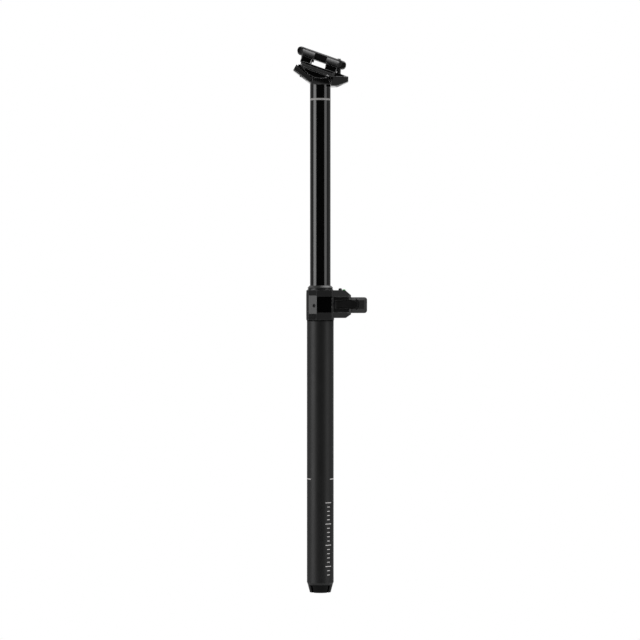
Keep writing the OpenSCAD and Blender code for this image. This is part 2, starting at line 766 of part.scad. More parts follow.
module piston_ring() color("#2a2a2a")
    ring(upper_ri - ring_t, upper_ri - run_gap, piston_z + ring_lift, piston_z + ring_lift + ring_h);

// Collar

// Facets of the collar: direction, wall over the lower tube, shares of the upper and lower bands' lean
// and of their height
collar_facets = [
    [90, collar_side_wall, 1, 1, 1],
    [bevel_angle, bevel_wall, 0.9, 0.62, 0.87],
    [back_angle, back_facet_wall, 0.36, 0.3, 0.78],
    [180, back_wall, 0.08, 0.05, 0.7]
];

// Everything inside one facet and the bands above and below it
module facet_slab(angle, facet) {
    face = lower_r + facet[1];
    rotate([0, 0, angle]) across(2 * far) polygon([
        [-far, 0],
        [face - bottom_inset * facet[3], 0],
        [face, bottom_band * facet[4]],
        [face, collar_h - top_band * facet[4]],
        [face - top_inset * facet[2], collar_h],
        [-far, collar_h]
    ]);
}

module collar_body() intersection() {
    union() {
        box([-2 * side_half, -2 * side_half, 0], [seam_x, 2 * side_half, collar_h]);
        cylinder(r = barrel_r, h = collar_h);
    }
    intersection_for (f = collar_facets) facet_slab(f[0], f);
    intersection_for (f = collar_facets) facet_slab(-f[0], f);
}

module at_bleed() rotate([0, 0, -bevel_angle]) translate([lower_r + bevel_wall, bleed_shift, bleed_z])
    rotate([0, 90, 0]) children();

module collar() color("#0d0d0e") difference() {
    collar_body();
    translate([0, 0, -cut]) cylinder(r = lower_r + bond_gap, h = cut + bond_gap);
    cylinder(r = neck_r + bond_gap, h = tube_socket + bond_gap);
    cylinder(r = bush_bore, h = collar_h + cut);
    translate([0, 0, collar_h - wiper_skirt - bond_gap]) cylinder(r = wiper_bore, h = wiper_skirt + cut);
    at_bleed() {
        translate([0, 0, -bleed_h - loose_gap]) cylinder(r = bleed_r + loose_gap, h = 2 * bleed_h);
        translate([0, 0, -bleed_len - loose_gap]) cylinder(d = bleed_shank_d + 2 * bond_gap, h = bleed_len);
    }
    for (y = [-screw_y, screw_y]) for (z = [screw_low, screw_high])
        rod_x(screw_d / 2 + bond_gap, seam_x - screw_grip - loose_gap, seam_x + cut, y, z);
    rod_x(valve_pin_d / 2 + run_gap, valve_tip_x - cam_offset - valve_room, barrel_r, valve_y, motor_z);
}

module bleed_screw() color("#2b2b2e") at_bleed() difference() {
    union() {
        translate([0, 0, -bleed_h - bond_gap]) cylinder(r = bleed_r, h = bleed_h);
        translate([0, 0, -bleed_len]) cylinder(d = bleed_shank_d, h = bleed_len - bleed_h / 2);
    }
    translate([0, 0, -bleed_h * 2 / 3]) cylinder(d = bleed_hex_d, h = bleed_h, $fn = 6);
}

module wiper_seal() color("#161617") rotate_extrude() polygon([
    [upper_r + move_gap, collar_h - wiper_skirt],
    [upper_r + wiper_skirt_t, collar_h - wiper_skirt],
    [upper_r + wiper_skirt_t, collar_h + bond_gap],
    [upper_r + wiper_flange, collar_h + bond_gap],
    [upper_r + wiper_flange, collar_h + wiper_rim],
    [upper_r + wiper_flange - wiper_groove, collar_h + wiper_rim + loose_gap],
    [upper_r + wiper_flange - wiper_groove, collar_h + 2 * wiper_rim - loose_gap],
    [upper_r + wiper_flange - loose_gap, collar_h + 2 * wiper_rim],
    [upper_r + wiper_flange - 2 * loose_gap, collar_h + 3 * wiper_rim],
    [upper_r + wiper_lip, wiper_top],
    [upper_r + run_gap, wiper_top],
    [upper_r + run_gap, wiper_top - wiper_lip_h],
    [upper_r + move_gap, wiper_top - wiper_lip_h - wiper_lip]
]);

module upper_bushing() color("#7d7a70") ring(upper_r + run_gap, bush_bore - bond_gap, bush_z, bush_top);

module top_out_bumper() color("#3a3a3a")
    ring(upper_r + move_gap, lower_ri - bond_gap, bumper_top - bumper_h, bumper_top);

// Module

module module_body() intersection() {
    along(seam_x + bond_gap, module_front) polygon(side_mirrored(band_half()));
    across(4 * side_half) polygon([
        [seam_x, module_lift],
        [module_front - chin_run, module_lift],
        [module_front, module_lift + chin_rise],
        [module_front, collar_h - nose_drop],
        [module_front - nose_run, collar_h],
        [seam_x, collar_h]
    ]);
    linear_extrude(collar_h + cut) polygon(mirrored([
        [seam_x, side_half],
        [module_front - corner_run, side_half],
        [module_front, side_half - corner_in]
    ]));
}

// Side outline of the latch, grown by g, running on past its end by run
module latch_outline(g = 0, run = 0) {
    polygon([
        [latch_x, latch_z - latch_pin_h / 2 - g],
        [latch_end_x, latch_z - latch_end_r - g],
        [latch_end_x + run, latch_z - latch_end_r - g],
        [latch_end_x + run, latch_z + latch_end_r + g],
        [latch_end_x, latch_z + latch_end_r + g],
        [latch_x, latch_z + latch_pin_h / 2 + g]
    ]);
    translate([latch_end_x + run, latch_z]) circle(r = latch_end_r + g);
}

module latch_pocket() {
    half = latch_pin_h / 2 + latch_gap;
    translate([0, pocket_floor, 0]) rotate([90, 0, 0]) linear_extrude(side_half)
        latch_outline(latch_gap, cut);
    box([latch_x - knuckle_r - move_gap, -far, latch_z - half],
        [latch_x + cut, pocket_floor, latch_z + half]);
}

module module_housing() color("#101011") difference() {
    module_body();
    translate([0, 0, -cut]) cylinder(r = barrel_r + bond_gap, h = collar_h + 2 * cut);
    both_sides() box([seam_x + recess_back, side_half - side_recess, bottom_band + recess_rim],
        [module_front + cut, side_half + cut, band_top_z - recess_rim]);
    box([seam_x, -chamber_half, module_lift + floor_t], [chamber_x, chamber_half, chamber_top]);
    box([seam_x, -chamber_half, board_z - bond_gap], [board_front, chamber_half, chamber_top]);
    box([pocket_x, -plug_w / 2 - move_gap, plug_z0 - move_gap],
        [module_front + cut, plug_w / 2 + move_gap, plug_z1 + move_gap]);
    latch_pocket();
    translate([latch_x, latch_y, latch_z - latch_pin_len / 2 - bond_gap])
        cylinder(d = latch_pin_d + 2 * bond_gap, h = latch_pin_len + 2 * bond_gap);
    translate([button_pos, 0, chamber_top - cut])
        cylinder(d = button_d + 2 * move_gap, h = roof_t + 2 * cut);
    translate([0, 0, chamber_top - cut]) linear_extrude(roof_t + 2 * cut) led_outline(bond_gap);
    for (y = contact_ys) rod_x(contact_d / 2 + bond_gap, chamber_x - cut, pocket_x + cut, y, contact_z);
    for (y = [-screw_y, screw_y]) for (z = [screw_low, screw_high]) {
        rod_x(screw_d / 2 + bond_gap, seam_x - cut, module_front, y, z);
        rod_x(screw_head_d / 2 + loose_gap, screw_seat_x, module_front + cut, y, z);
    }
    both_sides() translate([seam_x + vent_x, vent_y, vent_z]) rotate([-90 - band_angle, 0, 0])
        translate([0, 0, -vent_depth]) cylinder(d = vent_d, h = 2 * vent_depth, $fn = 32);
}

module led_outline(g = 0) round_slot(led_pos, led_len + 2 * g, led_w + 2 * g);

// Slot with round ends, centred on x
module round_slot(x, length, width) {
    translate([x - (length - width) / 2, -width / 2]) square([length - width, width]);
    for (s = [-1, 1]) translate([x + s * (length - width) / 2, 0]) circle(d = width);
}

module housing_screws() color("#3c3c40")
    for (y = [-screw_y, screw_y]) for (z = [screw_low, screw_high]) difference() {
        union() {
            rod_x(screw_d / 2, seam_x - screw_grip, screw_seat_x + cut, y, z);
            rod_x(screw_head_d / 2, screw_seat_x + bond_gap, screw_seat_x + screw_head_h, y, z);
        }
        translate([screw_seat_x + screw_head_h - screw_hex_h, y, z]) rotate([0, 90, 0])
            cylinder(d = screw_hex_d, h = 2 * screw_hex_h, $fn = 6);
    }

// Board with the switch that the button reaches at the end of its stroke
module circuit_board() color("#2f6b3a") {
    half = chamber_half - loose_gap;
    box([barrel_r + board_gap, -half, board_z], [board_front - loose_gap, half, board_z + board_t]);
    box([button_pos - switch_w / 2, -switch_w / 2, board_z + board_t - bond_gap],
        [button_pos + switch_w / 2, switch_w / 2, flange_z - button_stroke - bond_gap]);
}

module gear_motor() color("#a7a7ab") difference() {
    rod_y(motor_d / 2, motor_y0, motor_y1, motor_x, motor_z);
    rod_y(cam_shaft_r + run_gap, motor_y1 - cam_shaft_in - move_gap, motor_y1 + cut, motor_x, motor_z);
}

module drive_cam() color("#d0b06a") {
    rod_y(cam_shaft_r, motor_y1 - cam_shaft_in, cam_y + cam_w / 2, motor_x, motor_z);
    rod_y(cam_r, cam_y, cam_y + cam_w, motor_x + cam_offset, motor_z);
}

module valve_pin() color("#b9b9bd") rod_x(valve_pin_d / 2, valve_tip_x, valve_head_x, valve_y, motor_z);

module battery_contacts() color("#d7b45a")
    for (y = contact_ys)
        rod_x(contact_d / 2, chamber_x - contact_back, pocket_x + contact_out, y, contact_z);

module led_window() color("#5fd06a")
    translate([0, 0, chamber_top]) linear_extrude(roof_t + led_h) led_outline();

module power_button() color("#1d1d1f") translate([button_pos, 0, 0]) {
    r = button_d / 2;
    rim = r - bond_gap;
    dome_r = (rim * rim + button_dome * button_dome) / (2 * button_dome);
    top = collar_h + button_h;
    translate([0, 0, flange_z]) cylinder(r = r, h = top - button_dome - flange_z);
    intersection() {
        translate([0, 0, top - dome_r]) sphere(r = dome_r);
        translate([0, 0, top - button_dome - bond_gap]) cylinder(r = 2 * r, h = 2 * button_dome);
    }
    translate([0, 0, flange_z]) cylinder(r = r + button_flange, h = button_flange_t);
}

// Battery

module battery_profile() {
    half = battery_w / 2;
    polygon(side_mirrored([
        [half - battery_bevel_in, battery_lift],
        [half, battery_lift + battery_low_bevel],
        [half, battery_lift + battery_h - battery_top_bevel],
        [half - battery_bevel_in, battery_lift + battery_h]
    ]));
}

// Side outline of the battery with round front corners
module battery_outline() {
    r = battery_round;
    top = battery_lift + battery_h;
    translate([battery_x0, battery_lift]) square([battery_len - r, battery_h]);
    translate([battery_x0, battery_lift + r]) square([battery_len, battery_h - 2 * r]);
    for (z = [battery_lift + r, top - r]) translate([battery_x1 - r, z]) circle(r = r);
}

module battery_block() intersection() {
    along(battery_x0, battery_x1) battery_profile();
    across(2 * battery_w) battery_outline();
    linear_extrude(far) polygon(mirrored([
        [battery_x0, battery_w / 2],
        [battery_x1 - battery_round, battery_w / 2],
        [battery_x1, battery_w / 2 - battery_round]
    ]));
}

module battery_case() color("#171718") difference() {
    union() {
        intersection() {
            battery_block();
            box([battery_x0, -far, 0], [cover_x, far, far]);
        }
        box([plug_x0, -plug_w / 2, plug_z0], [battery_x0 + cut, plug_w / 2, plug_z1]);
    }
    box([hook_x - hook_len / 2 - hook_play, -far, latch_z - latch_pin_h / 2 - loose_gap],
        [hook_front, -battery_w / 2 + hook_reach + hook_room, latch_z + latch_pin_h / 2 + loose_gap]);
    intersection() {
        rod_y(latch_end_r + thumb_w, -far, -battery_w / 2 + thumb_depth, latch_end_x, latch_z);
        box([hook_front + hook_room, -far, 0], [far, 0, far]);
    }
    for (y = contact_ys)
        rod_x(terminal_d / 2 + bond_gap, plug_x0 - cut, plug_x0 + terminal_h, y, contact_z);
}

module battery_cover() color("#1a1a1b") intersection() {
    battery_block();
    box([cover_x + bond_gap, -far, 0], [far, far, far]);
}

module battery_terminals() color("#d7b45a")
    for (y = contact_ys)
        rod_x(terminal_d / 2, plug_x0 + terminal_sink, plug_x0 + terminal_h - bond_gap, y, contact_z);

// Latch

module latch_lever() color("#131314") difference() {
    union() {
        translate([0, latch_in, 0]) rotate([90, 0, 0]) linear_extrude(latch_t) latch_outline();
        translate([latch_x, latch_y, latch_z - latch_pin_h / 2]) cylinder(r = knuckle_r, h = latch_pin_h);
        box([hook_x - hook_len / 2, latch_in - latch_t / 2, latch_z - latch_pin_h / 2 + hook_margin],
            [hook_x + hook_len / 2, -battery_w / 2 + hook_reach, latch_z + latch_pin_h / 2 - hook_margin]);
    }
    translate([latch_x, latch_y, latch_z - latch_pin_h])
        cylinder(r = latch_pin_d / 2 + run_gap, h = 2 * latch_pin_h);
}

module latch_pin() color("#8f8f94")
    translate([latch_x, latch_y, latch_z - latch_pin_len / 2]) cylinder(d = latch_pin_d, h = latch_pin_len);

// Upper post

module upper_tube() color("#0a0a0b") difference() {
    ring(upper_ri, upper_r, upper_bottom, head_z);
    ring(upper_r - stop_groove, upper_r + cut, stop_z - bond_gap, stop_z + stop_h + bond_gap);
}

module stop_ring() color("#8a8a8e")
    ring(upper_r - stop_groove + bond_gap, lower_ri - move_gap, stop_z, stop_z + stop_h);

module seal_head() color("#8c8c92") difference() {
    ring(shaft_r + run_gap, upper_ri - bond_gap, upper_bottom, upper_bottom + seal_head_h);
    ring(shaft_r, shaft_r + run_gap + ring_t + bond_gap, upper_bottom + ring_lift - bond_gap,
        upper_bottom + ring_lift + ring_h + bond_gap);
}

module shaft_seal() color("#2a2a2a")
    ring(shaft_r + run_gap, shaft_r + run_gap + ring_t, upper_bottom + ring_lift,
        upper_bottom + ring_lift + ring_h);

module lower_bushing() color("#7d7a70") difference() {
    ring(upper_r + bond_gap, lower_ri - run_gap, upper_bottom, upper_bottom + lower_bush_h);
    guide_key_shapes(bond_gap);
}

module guide_key_shapes(g = 0) for (a = key_angles) rotate([0, 0, a])
    translate([key_pitch, 0, upper_bottom + (lower_bush_h - key_h) / 2 - g])
        cylinder(r = key_r + g, h = key_h + 2 * g);

module guide_keys() color("#c9a24a") guide_key_shapes();

// Head

module head_plan() polygon(mirrored([
    [-rear_reach, wing_tip_w / 2 - tip_chamfer],
    [-rear_reach + tip_chamfer, wing_tip_w / 2],
    [-upper_r - wing_start, head_w / 2],
    [upper_r + wing_start, head_w / 2],
    [front_reach - tip_chamfer, wing_tip_w / 2],
    [front_reach, wing_tip_w / 2 - tip_chamfer]
]));

// Normal of a wing's side, leaning towards its top
function leaning(side_n, top_n) = unit(unit(side_n) + tan(wing_draft) * unit(top_n));

module rear_wing() difference() {
    across(head_w) polygon([
        [-rear_root, head_z],
        [-rear_reach, head_z + rear_rise - rear_tip_h],
        [-rear_reach + rear_tip_in, head_z + rear_rise],
        [-seat_back, head_z + seat_rise],
        [-seat_back, head_z]
    ]);
    both_sides() {
        edge_cut([-upper_r - wing_start, head_w / 2, rear_top(-upper_r - wing_start)],
            rear_top_n, rear_side_n, top_chamfer);
        edge_cut([-rear_reach + tip_chamfer, wing_tip_w / 2, rear_under(-rear_reach + tip_chamfer)],
            rear_under_n, rear_side_n, under_chamfer);
        beyond([-rear_reach + tip_chamfer, wing_tip_w / 2, rear_under(-rear_reach + tip_chamfer)],
            leaning(rear_side_n, rear_top_n));
    }
}

// Rib that carries the round seat up to the height of the rear wing's end
module rear_rib() {
    back = -rear_reach + rear_tip_in + top_chamfer;
    across(rib_w) polygon([
        [back, rear_top(back) - top_chamfer],
        [back, head_z + rear_rise],
        [-seat_back, head_z + rear_rise],
        [-seat_back, head_z + seat_rise - top_chamfer]
    ]);
}

// Underside of the rear wing at a distance from the axis
function rear_under(x) = head_z - (x + rear_root) * (rear_rise - rear_tip_h) / (rear_reach - rear_root);

module head_middle() across(head_w) polygon([
    [-rear_root, head_z],
    [-seat_back, head_z + seat_rise],
    [upper_r, head_z + seat_rise],
    [upper_r + bolt_room, head_z]
]);

module front_wing() difference() {
    across(head_w) polygon([
        [upper_r + loose_gap, head_z - front_root],
        [front_turn_x, head_z - front_root],
        [front_reach, front_low_z],
        [front_reach, head_z + front_rise],
        [upper_r + loose_gap, front_top(upper_r + loose_gap)]
    ]);
    both_sides() {
        edge_cut([upper_r + wing_start, head_w / 2, head_z + front_bevel_z], [0, 0, 1], front_side_n, 0);
        edge_cut([front_reach - tip_chamfer, wing_tip_w / 2, front_under(front_reach - tip_chamfer)],
            front_under_n, front_side_n, under_chamfer);
        beyond([front_reach - tip_chamfer, wing_tip_w / 2, head_z - front_root - cut],
            leaning(front_side_n, [0, 0, 1]));
    }
}

// Underside of the front wing at a distance from the axis
function front_under(x) = front_low_z
    - (front_reach - x) * (front_low_z - head_z + front_root) / (front_reach - front_turn_x);

// Cheeks that lean in towards their top, on both sides of the head
module head_cheeks() difference() {
    intersection() {
        across(head_w + 2 * cheek_t) polygon([
            [-rear_root + move_gap, head_z - cheek_drop],
            [-rear_root + move_gap + cheek_lean, head_z + cheek_h],
            [upper_r - cheek_lean, head_z + cheek_h],
            [upper_r, head_z - cheek_drop]
        ]);
        along(-rear_root, upper_r) polygon(side_mirrored([
            [head_w / 2 + cheek_t, head_z - cheek_drop],
            [head_w / 2 - loose_gap, head_z + cheek_h]
        ]));
    }
    translate([0, 0, head_z - cheek_drop - cut]) cylinder(r = upper_r + bond_gap, h = cheek_drop + cut);
}

// Round cup for a bolt's head and the hole above it
module bolt_cup(at, pivot) translate([at[0], 0, pivot]) {
    sphere(r = bolt_head_r + move_gap);
    translate([0, 0, -far]) cylinder(r = bolt_head_r + move_gap, h = far);
    cylinder(r = bolt_r + bolt_room, h = 4 * bolt_head_r);
}

module head() color("#0e0e0f") difference() {
    union() {
        intersection() {
            union() {
                rear_wing();
                rear_rib();
                head_middle();
                front_wing();
            }
            translate([0, 0, head_z - far]) linear_extrude(2 * far) head_plan();
        }
        head_cheeks();
        translate([0, 0, head_z - spigot_len]) cylinder(r = upper_ri - bond_gap, h = spigot_len + cut);
    }
    rod_y(seat_r, -head_w, head_w, tilt_x, tilt_z);
    bolt_cup(rear_nut_at, rear_pivot);
    bolt_cup(front_nut_at, front_pivot);
    translate([0, 0, head_z - spigot_len - cut])
        cylinder(r = upper_ri - bond_gap - spigot_wall, h = spigot_len - spigot_roof + cut);
}

// Saddle clamp, drawn in its own frame with the tilt axis at the origin

module rail_grooves() both_sides()
    rod_x(rail_r, -2 * spine_back, 2 * spine_front, rail_pitch / 2, -rail_drop);

// Outline seen from above, with chamfered outer corners
module cornered_plan(back, front, out) linear_extrude(far, center = true) polygon(mirrored([
    [-back, out - end_chamfer],
    [-back + end_chamfer, out],
    [front - end_chamfer, out],
    [front, out - end_chamfer]
]));

module side_bar() along(bar_shift - bar_half, bar_front) polygon([
    [cradle_in, -cradle_drop],
    [cradle_out - bar_under, -cradle_drop],
    [cradle_out, bar_edge - cradle_drop],
    [cradle_out - bar_over, bar_top],
    [cradle_in, bar_top]
]);

module rail_support() box([post_in, rail_pitch / 2 - jaw_r + arm_drop, bar_top - cut],
    [jaw_end, cradle_out - post_inset, -rail_drop - clamp_split / 2]);

module keel() intersection() {
    box([-keel_back, -cradle_in - cut, -far], [keel_front, cradle_in + cut, bar_top]);
    rod_y(keel_r, -seat_r, seat_r, 0, 0);
}

module lower_cradle() color("#121213") in_clamp() difference() {
    union() {
        intersection() {
            both_sides() {
                side_bar();
                both_ends() rail_support();
            }
            cornered_plan(cradle_back, bar_front, cradle_out);
        }
        keel();
    }
    both_sides() box([-seat_r, cradle_in, -far], [seat_r, far, -cradle_drop]);
    rail_grooves();
    box([-seat_r, -bolt_r - keel_slot_room, -seat_r], [-keel_slot, bolt_r + keel_slot_room, 0]);
}

module spine() {
    r = spine_t / 2;
    half = spine_w / 2;
    intersection() {
        across(spine_w) {
            translate([r - spine_back, spine_lift - r])
                square([spine_front + spine_back - 2 * r, spine_t]);
            for (u = [r - spine_back, spine_front - r]) translate([u, spine_lift]) circle(r = r);
        }
        along(-spine_back, spine_front) polygon(side_mirrored([
            [half - spine_chamfer, spine_lift - r],
            [half, spine_lift - r + spine_chamfer],
            [half, spine_lift + r - spine_chamfer],
            [half - spine_chamfer, spine_lift + r]
        ]));
    }
}

// Half-round jaw over a rail and the arm that joins it to the spine
module jaw() {
    low = -rail_drop + clamp_split / 2;
    along(post_in - jaw_over, jaw_end) difference() {
        union() {
            translate([rail_pitch / 2, -rail_drop]) circle(r = jaw_r);
            translate([0, low + arm_lift])
                square([rail_pitch / 2, jaw_r - clamp_split / 2 - arm_lift - arm_drop]);
        }
        translate([0, -rail_drop - 2 * jaw_r]) square([rail_pitch, 2 * jaw_r + clamp_split / 2]);
    }
}

module upper_clamp() color("#1a1a1c") in_clamp() difference() {
    union() {
        spine();
        intersection() {
            both_sides() both_ends() jaw();
            cornered_plan(jaw_end, jaw_end, jaw_out);
        }
    }
    rail_grooves();
    both_ends() {
        rod_y(nut_r + run_gap, -spine_w, spine_w, nut_out, spine_lift);
        translate([0, 0, -spine_t]) linear_extrude(2 * spine_t)
            round_slot(nut_out, spine_slot, 2 * (bolt_r + slot_room));
    }
}

// Bolt with a round head at its pivot and a shank that ends above the nut
module clamp_bolt(at, pivot, tip) translate([at[0], 0, pivot]) difference() {
    union() {
        difference() {
            sphere(r = bolt_head_r);
            translate([0, 0, -far - bolt_flat]) cylinder(r = 2 * bolt_head_r, h = far);
        }
        cylinder(r = bolt_r, h = at[1] - pivot + tip);
    }
    translate([0, 0, -2 * bolt_flat]) cylinder(d = bolt_hex_d, h = bolt_flat + bolt_hex_h, $fn = 6);
}

module rear_bolt() color("#b4b4b8") clamp_bolt(rear_nut_at, rear_pivot, rear_bolt_tip);

module front_bolt() color("#b4b4b8") clamp_bolt(front_nut_at, front_pivot, front_bolt_tip);

module barrel_nut(at) translate([at[0], 0, at[1]]) difference() {
    rod_y(nut_r, -spine_w / 2 + loose_gap, spine_w / 2 - loose_gap, 0, 0);
    translate([0, 0, -nut_d]) cylinder(r = bolt_r + nut_room, h = 2 * nut_d);
}

module rear_nut() color("#98989c") barrel_nut(rear_nut_at);

module front_nut() color("#98989c") barrel_nut(front_nut_at);

lower_tube();
foot_cap();
shaft_nut();
inner_shaft();
air_valve();
valve_cap();
piston();
piston_ring();
collar();
bleed_screw();
wiper_seal();
upper_bushing();
top_out_bumper();
module_housing();
housing_screws();
circuit_board();
gear_motor();
drive_cam();
valve_pin();
battery_contacts();
led_window();
power_button();
battery_case();
battery_cover();
battery_terminals();
latch_lever();
latch_pin();
upper_tube();
stop_ring();
seal_head();
shaft_seal();
lower_bushing();
guide_keys();
head();
lower_cradle();
upper_clamp();
rear_bolt();
front_bolt();
rear_nut();
front_nut();
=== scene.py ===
# Dropper seatpost: finishes, threaded bolts, a painted shadow ring under the collar, studio and
# camera around the imported model
import json
import math

import bmesh
import bpy
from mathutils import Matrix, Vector


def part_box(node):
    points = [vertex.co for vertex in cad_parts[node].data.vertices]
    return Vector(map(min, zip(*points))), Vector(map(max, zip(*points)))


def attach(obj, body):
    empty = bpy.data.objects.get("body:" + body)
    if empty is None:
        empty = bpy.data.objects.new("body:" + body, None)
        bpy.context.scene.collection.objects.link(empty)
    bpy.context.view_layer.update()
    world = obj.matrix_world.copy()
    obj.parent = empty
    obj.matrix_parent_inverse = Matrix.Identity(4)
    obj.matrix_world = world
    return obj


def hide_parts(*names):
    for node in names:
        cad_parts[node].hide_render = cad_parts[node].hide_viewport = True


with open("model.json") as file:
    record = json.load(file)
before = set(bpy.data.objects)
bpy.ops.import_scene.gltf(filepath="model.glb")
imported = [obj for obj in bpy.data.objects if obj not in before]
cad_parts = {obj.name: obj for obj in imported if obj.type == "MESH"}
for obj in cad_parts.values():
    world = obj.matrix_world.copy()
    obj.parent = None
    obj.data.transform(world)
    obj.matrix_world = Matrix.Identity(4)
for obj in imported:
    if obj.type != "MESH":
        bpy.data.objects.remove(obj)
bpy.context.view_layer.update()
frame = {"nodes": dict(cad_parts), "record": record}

MM = 0.001

# Camera, from the photo: right side of the post, nearly level
CAMERA_AT = Vector((-0.00035, -3.0, 0.0295))
CAMERA_LOOKS_AT = Vector((-0.00035, 0.0, 0.0))
LENS_MM = 142.9
SENSOR_MM = 36.0

# Floor well below the post, so that its shadow stays under the picture
FLOOR_Z = -0.57
FLOOR_RADIUS = 1.2
FLOOR_FADE_FROM = 0.6
FLOOR_SIDES = 96
FLOOR_ROUGH = 0.9
FLOOR_MOTTLE = 60 * MM
FLOOR_TONES = (0.86, 0.92)

# Softboxes, level with the post's middle: angle from the camera (left is negative), width, power
SOFTBOXES = {
    "left_softbox": (-64, 1.35, 18.5),
    "right_softbox": (61, 1.12, 7.9),
}
SOFTBOX_DISTANCE = 2.2
SOFTBOX_HEIGHT = 1.12
TOP_LIGHT_AT = Vector((0.75, 0.15, 1.35))
TOP_LIGHT_SIZE = (1.2, 1.7)
TOP_LIGHT_POWER = 20.0

# Radiance of the studio round the post
ROOM_FRONT = 0.006
ROOM_SIDE = 0.30
ROOM_PALE = 0.55
ROOM_BACKDROP = 1.0
ROOM_FILL = 0.45

# Borders of the studio's parts: depth is -1 at the camera and 1 behind the post, height is 0 to 1
FRONT_TO_SIDE = (-0.85, -0.35)
PALE_TO_BACKDROP = (-0.2, 0.4)
LEVEL_TO_PALE = (0.20, 0.50)
BACKDROP_RIM = (0.90, 0.97)

# Sockets of the Mix node that belong to colours
MIX_FACTOR, MIX_FIRST, MIX_SECOND = 0, 6, 7
MIX_RESULT = 2

NOISE_DETAIL = 3.0


class Shader:
    """Adds nodes to one node tree and links them."""

    def __init__(self, tree):
        self.tree = tree

    def add(self, kind, **settings):
        node = self.tree.nodes.new("ShaderNode" + kind)
        for key, value in settings.items():
            setattr(node, key, value)
        return node

    def put(self, socket, value):
        """Links a socket to another one, or sets the socket's own value."""
        if isinstance(value, bpy.types.NodeSocket):
            self.tree.links.new(value, socket)
        else:
            socket.default_value = value

    def math(self, operation, *values):
        node = self.add("Math", operation=operation)
        for socket, value in zip(node.inputs, values):
            self.put(socket, value)
        return node.outputs[0]

    def product(self, *values):
        result = values[0]
        for value in values[1:]:
            result = self.math("MULTIPLY", result, value)
        return result

    def ramp(self, value, low, high, to_low=0.0, to_high=1.0):
        """Smooth step of value between low and high."""
        node = self.add("MapRange", interpolation_type="SMOOTHSTEP")
        for socket, given in zip(node.inputs, (value, low, high, to_low, to_high)):
            self.put(socket, given)
        return node.outputs[0]

    def within(self, value, half, soft):
        """1 where the size of value is below half, 0 beyond, with a soft border."""
        return self.ramp(self.math("ABSOLUTE", value), half + soft, half - soft)

    def mix(self, factor, first, second):
        node = self.add("Mix", data_type="RGBA")
        self.put(node.inputs[MIX_FACTOR], factor)
        self.put(node.inputs[MIX_FIRST], first)
        self.put(node.inputs[MIX_SECOND], second)
        return node.outputs[MIX_RESULT]

    def place(self):
        return self.add("TexCoord").outputs["Object"]

    def split(self, vector):
        """The x, y and z of a vector."""
        node = self.add("SeparateXYZ")
        self.put(node.inputs[0], vector)
        return tuple(node.outputs)

    def noise(self, size):
        """Noise from 0 to 1 whose features are about size metres across."""
        node = self.add("TexNoise")
        self.put(node.inputs["Vector"], self.place())
        self.put(node.inputs["Scale"], 1 / size)
        self.put(node.inputs["Detail"], NOISE_DETAIL)
        return node.outputs[0]


def new_material(name):
    """A material, the shader that adds nodes to it, and its Principled BSDF."""
    material = bpy.data.materials.new(name)
    material.use_nodes = True
    tree = material.node_tree
    return material, Shader(tree), tree.nodes["Principled BSDF"]


def grey(value, warm=0.0):
    return (value * (1 + warm), value, value * (1 - warm), 1.0)


def scaled(colour, factor):
    return tuple(c * factor for c in colour[:3]) + (1.0,)


# What all finishes share
WORN_GAIN = 2.2
WORN_LIFT = 0.012
PATCH_SIZE = 18 * MM
PATCH_BORDER = (0.35, 0.65)
BEVEL_SAMPLES = 6
EDGE_FACING = (0.998, 0.985)
EDGE_BREAKUP_SIZE = 2.5 * MM
EDGE_BREAKUP_BORDER = (0.3, 0.7)
EDGE_BREAKUP_LEAST = 0.25
ROUGH_FROM_PATCHES = 0.5
ROUGH_SPAN = (0.4, 1.1)
BUMP_STRENGTH = 0.5
PRINT_ROUGH = 0.5


def worn_colour(colour):
    """Paler tone that shows where a surface is rubbed."""
    return tuple(min(1.0, WORN_GAIN * c + WORN_LIFT) for c in colour[:3]) + (1.0,)


